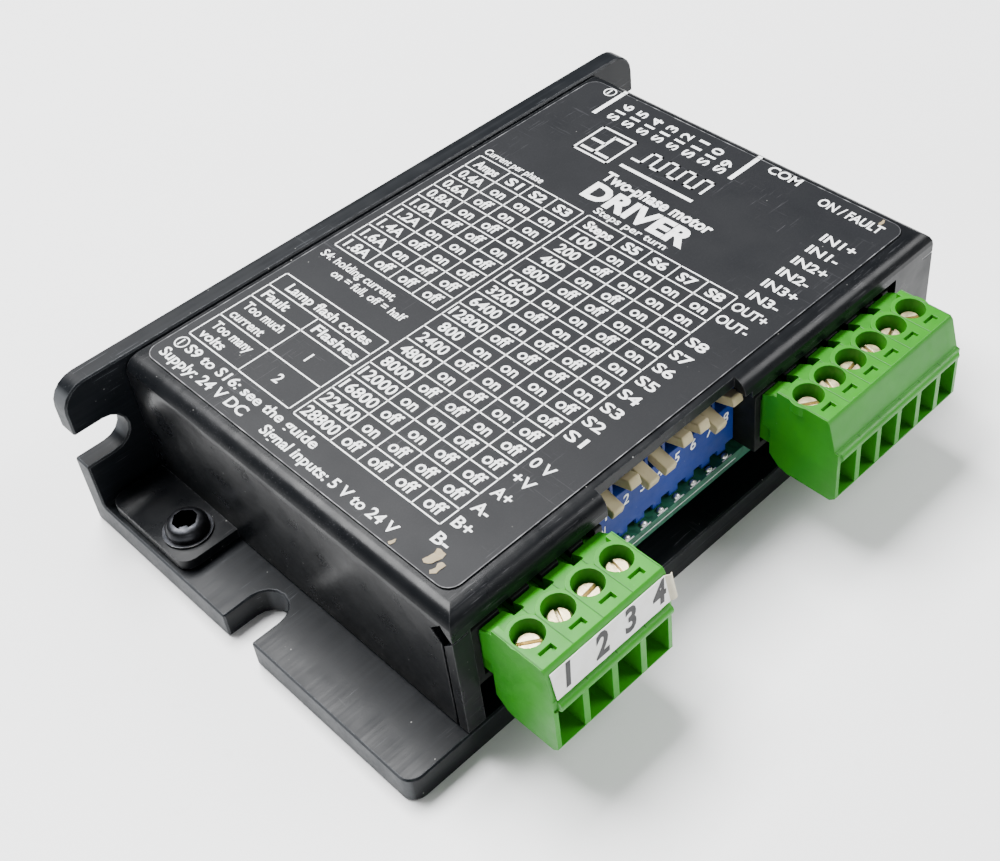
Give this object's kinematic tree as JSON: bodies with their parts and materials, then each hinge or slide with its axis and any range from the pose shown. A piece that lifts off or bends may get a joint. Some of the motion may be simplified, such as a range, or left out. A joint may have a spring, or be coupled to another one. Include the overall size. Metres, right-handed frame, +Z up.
{
  "type": "stepper motor driver module",
  "caption": "Small microstepping motor driver: slotted L-shaped heat sink, folded black cover, pull-off green screw terminals and DIP switches with rocking levers.",
  "frame": {"origin": "centre of the base plate's underside", "axes": "+X along the 86 mm length, -Y towards the pluggable terminals, +Y towards the heat-sink wall, +Z up out of the base plate"},
  "size_m": [0.086, 0.0643, 0.0206],
  "materials": {
    "black_anodise": "black anodised, satin",
    "black_paint": "semi-gloss black coat",
    "label_film": "matt charcoal film",
    "screw_black": "blackened steel",
    "pcb_green": "solder-mask green",
    "spacer_aluminium": "turned",
    "header_black": "grey-black moulding",
    "tinned_brass": "tinned",
    "plug_green": "green moulding",
    "paper_white": "white marker tape",
    "switch_blue": "blue moulding",
    "lever_cream": "cream moulding",
    "socket_black": "black moulding",
    "lamp_green": "tinted lens",
    "lamp_red": "tinted lens",
    "capacitor_sleeve": "shrink sleeve",
    "chip_black": "moulded package",
    "pad_grey": "soft silicone pad"
  },
  "bodies": {
    "drive": {"heat_sink": "black_anodise", "cover": "black_paint", "label": "label_film", "cover_screw_near": "screw_black", "cover_screw_far": "screw_black", "circuit_board": "pcb_green", "board_standoff_1": "spacer_aluminium", "board_standoff_2": "spacer_aluminium", "board_standoff_3": "spacer_aluminium", "header_4way": "header_black", "header_6way": "header_black", "front_switch_body": "switch_blue", "end_switch_body": "switch_blue", "comm_socket": "socket_black", "power_lamp": "lamp_green", "alarm_lamp": "lamp_red", "supply_capacitor_1": "capacitor_sleeve", "supply_capacitor_2": "capacitor_sleeve", "output_chip": "chip_black", "thermal_pad": "pad_grey", "control_processor": "chip_black"},
    "power_plug": {"plug_4way": "plug_green", "marker_strip": "paper_white"},
    "signal_plug": {"plug_6way": "plug_green"},
    "clamp_screw_4way_1": {"clamp_screw_4way_1": "tinned_brass"},
    "wire_cage_4way_1": {"wire_cage_4way_1": "tinned_brass"},
    "clamp_screw_4way_2": {"clamp_screw_4way_2": "tinned_brass"},
    "wire_cage_4way_2": {"wire_cage_4way_2": "tinned_brass"},
    "clamp_screw_4way_3": {"clamp_screw_4way_3": "tinned_brass"},
    "wire_cage_4way_3": {"wire_cage_4way_3": "tinned_brass"},
    "clamp_screw_4way_4": {"clamp_screw_4way_4": "tinned_brass"},
    "wire_cage_4way_4": {"wire_cage_4way_4": "tinned_brass"},
    "clamp_screw_6way_1": {"clamp_screw_6way_1": "tinned_brass"},
    "wire_cage_6way_1": {"wire_cage_6way_1": "tinned_brass"},
    "clamp_screw_6way_2": {"clamp_screw_6way_2": "tinned_brass"},
    "wire_cage_6way_2": {"wire_cage_6way_2": "tinned_brass"},
    "clamp_screw_6way_3": {"clamp_screw_6way_3": "tinned_brass"},
    "wire_cage_6way_3": {"wire_cage_6way_3": "tinned_brass"},
    "clamp_screw_6way_4": {"clamp_screw_6way_4": "tinned_brass"},
    "wire_cage_6way_4": {"wire_cage_6way_4": "tinned_brass"},
    "clamp_screw_6way_5": {"clamp_screw_6way_5": "tinned_brass"},
    "wire_cage_6way_5": {"wire_cage_6way_5": "tinned_brass"},
    "clamp_screw_6way_6": {"clamp_screw_6way_6": "tinned_brass"},
    "wire_cage_6way_6": {"wire_cage_6way_6": "tinned_brass"},
    "front_switch_lever_1": {"front_switch_lever_1": "lever_cream"},
    "front_switch_lever_2": {"front_switch_lever_2": "lever_cream"},
    "front_switch_lever_3": {"front_switch_lever_3": "lever_cream"},
    "front_switch_lever_4": {"front_switch_lever_4": "lever_cream"},
    "front_switch_lever_5": {"front_switch_lever_5": "lever_cream"},
    "front_switch_lever_6": {"front_switch_lever_6": "lever_cream"},
    "front_switch_lever_7": {"front_switch_lever_7": "lever_cream"},
    "front_switch_lever_8": {"front_switch_lever_8": "lever_cream"},
    "end_switch_lever_1": {"end_switch_lever_1": "lever_cream"},
    "end_switch_lever_2": {"end_switch_lever_2": "lever_cream"},
    "end_switch_lever_3": {"end_switch_lever_3": "lever_cream"},
    "end_switch_lever_4": {"end_switch_lever_4": "lever_cream"},
    "end_switch_lever_5": {"end_switch_lever_5": "lever_cream"},
    "end_switch_lever_6": {"end_switch_lever_6": "lever_cream"},
    "end_switch_lever_7": {"end_switch_lever_7": "lever_cream"},
    "end_switch_lever_8": {"end_switch_lever_8": "lever_cream"}
  },
  "joints": [
    {"name": "power_plug_pull", "type": "slide", "parent": "drive", "child": "power_plug", "axis": [0, -1, 0], "range_m": [0, 0.009]},
    {"name": "signal_plug_pull", "type": "slide", "parent": "drive", "child": "signal_plug", "axis": [0, -1, 0], "range_m": [0, 0.009]},
    {"name": "clamp_turn_4way_1", "type": "hinge", "parent": "power_plug", "child": "clamp_screw_4way_1", "pos_m": [-0.0302, -0.0313, 0.01495], "axis": [0, 0, -1], "range_deg": [0, 1080]},
    {"name": "cage_lift_4way_1", "type": "slide", "parent": "power_plug", "child": "wire_cage_4way_1", "axis": [0, 0, 1], "range_m": [0, 0.0012]},
    {"name": "clamp_turn_4way_2", "type": "hinge", "parent": "power_plug", "child": "clamp_screw_4way_2", "pos_m": [-0.02639, -0.0313, 0.01495], "axis": [0, 0, -1], "range_deg": [0, 1080]},
    {"name": "cage_lift_4way_2", "type": "slide", "parent": "power_plug", "child": "wire_cage_4way_2", "axis": [0, 0, 1], "range_m": [0, 0.0012]},
    {"name": "clamp_turn_4way_3", "type": "hinge", "parent": "power_plug", "child": "clamp_screw_4way_3", "pos_m": [-0.02258, -0.0313, 0.01495], "axis": [0, 0, -1], "range_deg": [0, 1080]},
    {"name": "cage_lift_4way_3", "type": "slide", "parent": "power_plug", "child": "wire_cage_4way_3", "axis": [0, 0, 1], "range_m": [0, 0.0012]},
    {"name": "clamp_turn_4way_4", "type": "hinge", "parent": "power_plug", "child": "clamp_screw_4way_4", "pos_m": [-0.01877, -0.0313, 0.01495], "axis": [0, 0, -1], "range_deg": [0, 1080]},
    {"name": "cage_lift_4way_4", "type": "slide", "parent": "power_plug", "child": "wire_cage_4way_4", "axis": [0, 0, 1], "range_m": [0, 0.0012]},
    {"name": "clamp_turn_6way_1", "type": "hinge", "parent": "signal_plug", "child": "clamp_screw_6way_1", "pos_m": [0.0095, -0.0313, 0.01525], "axis": [0, 0, -1], "range_deg": [0, 1080]},
    {"name": "cage_lift_6way_1", "type": "slide", "parent": "signal_plug", "child": "wire_cage_6way_1", "axis": [0, 0, 1], "range_m": [0, 0.0012]},
    {"name": "clamp_turn_6way_2", "type": "hinge", "parent": "signal_plug", "child": "clamp_screw_6way_2", "pos_m": [0.013, -0.0313, 0.01525], "axis": [0, 0, -1], "range_deg": [0, 1080]},
    {"name": "cage_lift_6way_2", "type": "slide", "parent": "signal_plug", "child": "wire_cage_6way_2", "axis": [0, 0, 1], "range_m": [0, 0.0012]},
    {"name": "clamp_turn_6way_3", "type": "hinge", "parent": "signal_plug", "child": "clamp_screw_6way_3", "pos_m": [0.0165, -0.0313, 0.01525], "axis": [0, 0, -1], "range_deg": [0, 1080]},
    {"name": "cage_lift_6way_3", "type": "slide", "parent": "signal_plug", "child": "wire_cage_6way_3", "axis": [0, 0, 1], "range_m": [0, 0.0012]},
    {"name": "clamp_turn_6way_4", "type": "hinge", "parent": "signal_plug", "child": "clamp_screw_6way_4", "pos_m": [0.02, -0.0313, 0.01525], "axis": [0, 0, -1], "range_deg": [0, 1080]},
    {"name": "cage_lift_6way_4", "type": "slide", "parent": "signal_plug", "child": "wire_cage_6way_4", "axis": [0, 0, 1], "range_m": [0, 0.0012]},
    {"name": "clamp_turn_6way_5", "type": "hinge", "parent": "signal_plug", "child": "clamp_screw_6way_5", "pos_m": [0.0235, -0.0313, 0.01525], "axis": [0, 0, -1], "range_deg": [0, 1080]},
    {"name": "cage_lift_6way_5", "type": "slide", "parent": "signal_plug", "child": "wire_cage_6way_5", "axis": [0, 0, 1], "range_m": [0, 0.0012]},
    {"name": "clamp_turn_6way_6", "type": "hinge", "parent": "signal_plug", "child": "clamp_screw_6way_6", "pos_m": [0.027, -0.0313, 0.01525], "axis": [0, 0, -1], "range_deg": [0, 1080]},
    {"name": "cage_lift_6way_6", "type": "slide", "parent": "signal_plug", "child": "wire_cage_6way_6", "axis": [0, 0, 1], "range_m": [0, 0.0012]},
    {"name": "front_switch_1", "type": "hinge", "parent": "drive", "child": "front_switch_lever_1", "pos_m": [-0.01324, -0.0225, 0.0164], "axis": [1, 0, 0], "range_deg": [-34, 0]},
    {"name": "front_switch_2", "type": "hinge", "parent": "drive", "child": "front_switch_lever_2", "pos_m": [-0.0107, -0.0225, 0.0164], "axis": [1, 0, 0], "range_deg": [0, 34]},
    {"name": "front_switch_3", "type": "hinge", "parent": "drive", "child": "front_switch_lever_3", "pos_m": [-0.00816, -0.0225, 0.0164], "axis": [1, 0, 0], "range_deg": [-34, 0]},
    {"name": "front_switch_4", "type": "hinge", "parent": "drive", "child": "front_switch_lever_4", "pos_m": [-0.00562, -0.0225, 0.0164], "axis": [1, 0, 0], "range_deg": [-34, 0]},
    {"name": "front_switch_5", "type": "hinge", "parent": "drive", "child": "front_switch_lever_5", "pos_m": [-0.00308, -0.0225, 0.0164], "axis": [1, 0, 0], "range_deg": [0, 34]},
    {"name": "front_switch_6", "type": "hinge", "parent": "drive", "child": "front_switch_lever_6", "pos_m": [-0.00054, -0.0225, 0.0164], "axis": [1, 0, 0], "range_deg": [0, 34]},
    {"name": "front_switch_7", "type": "hinge", "parent": "drive", "child": "front_switch_lever_7", "pos_m": [0.002, -0.0225, 0.0164], "axis": [1, 0, 0], "range_deg": [-34, 0]},
    {"name": "front_switch_8", "type": "hinge", "parent": "drive", "child": "front_switch_lever_8", "pos_m": [0.00454, -0.0225, 0.0164], "axis": [1, 0, 0], "range_deg": [0, 34]},
    {"name": "end_switch_1", "type": "hinge", "parent": "drive", "child": "end_switch_lever_1", "pos_m": [0.03235, -0.00114, 0.0164], "axis": [0, 1, 0], "range_deg": [0, 34]},
    {"name": "end_switch_2", "type": "hinge", "parent": "drive", "child": "end_switch_lever_2", "pos_m": [0.03235, 0.0014, 0.0164], "axis": [0, 1, 0], "range_deg": [-34, 0]},
    {"name": "end_switch_3", "type": "hinge", "parent": "drive", "child": "end_switch_lever_3", "pos_m": [0.03235, 0.00394, 0.0164], "axis": [0, 1, 0], "range_deg": [0, 34]},
    {"name": "end_switch_4", "type": "hinge", "parent": "drive", "child": "end_switch_lever_4", "pos_m": [0.03235, 0.00648, 0.0164], "axis": [0, 1, 0], "range_deg": [-34, 0]},
    {"name": "end_switch_5", "type": "hinge", "parent": "drive", "child": "end_switch_lever_5", "pos_m": [0.03235, 0.00902, 0.0164], "axis": [0, 1, 0], "range_deg": [-34, 0]},
    {"name": "end_switch_6", "type": "hinge", "parent": "drive", "child": "end_switch_lever_6", "pos_m": [0.03235, 0.01156, 0.0164], "axis": [0, 1, 0], "range_deg": [0, 34]},
    {"name": "end_switch_7", "type": "hinge", "parent": "drive", "child": "end_switch_lever_7", "pos_m": [0.03235, 0.0141, 0.0164], "axis": [0, 1, 0], "range_deg": [-34, 0]},
    {"name": "end_switch_8", "type": "hinge", "parent": "drive", "child": "end_switch_lever_8", "pos_m": [0.03235, 0.01664, 0.0164], "axis": [0, 1, 0], "range_deg": [-34, 0]}
  ],
  "couplings": [
    {"joint": "clamp_turn_4way_1", "follows": "cage_lift_4way_1", "rad_per_m": 15708},
    {"joint": "clamp_turn_4way_2", "follows": "cage_lift_4way_2", "rad_per_m": 15708},
    {"joint": "clamp_turn_4way_3", "follows": "cage_lift_4way_3", "rad_per_m": 15708},
    {"joint": "clamp_turn_4way_4", "follows": "cage_lift_4way_4", "rad_per_m": 15708},
    {"joint": "clamp_turn_6way_1", "follows": "cage_lift_6way_1", "rad_per_m": 15708},
    {"joint": "clamp_turn_6way_2", "follows": "cage_lift_6way_2", "rad_per_m": 15708},
    {"joint": "clamp_turn_6way_3", "follows": "cage_lift_6way_3", "rad_per_m": 15708},
    {"joint": "clamp_turn_6way_4", "follows": "cage_lift_6way_4", "rad_per_m": 15708},
    {"joint": "clamp_turn_6way_5", "follows": "cage_lift_6way_5", "rad_per_m": 15708},
    {"joint": "clamp_turn_6way_6", "follows": "cage_lift_6way_6", "rad_per_m": 15708}
  ]
}
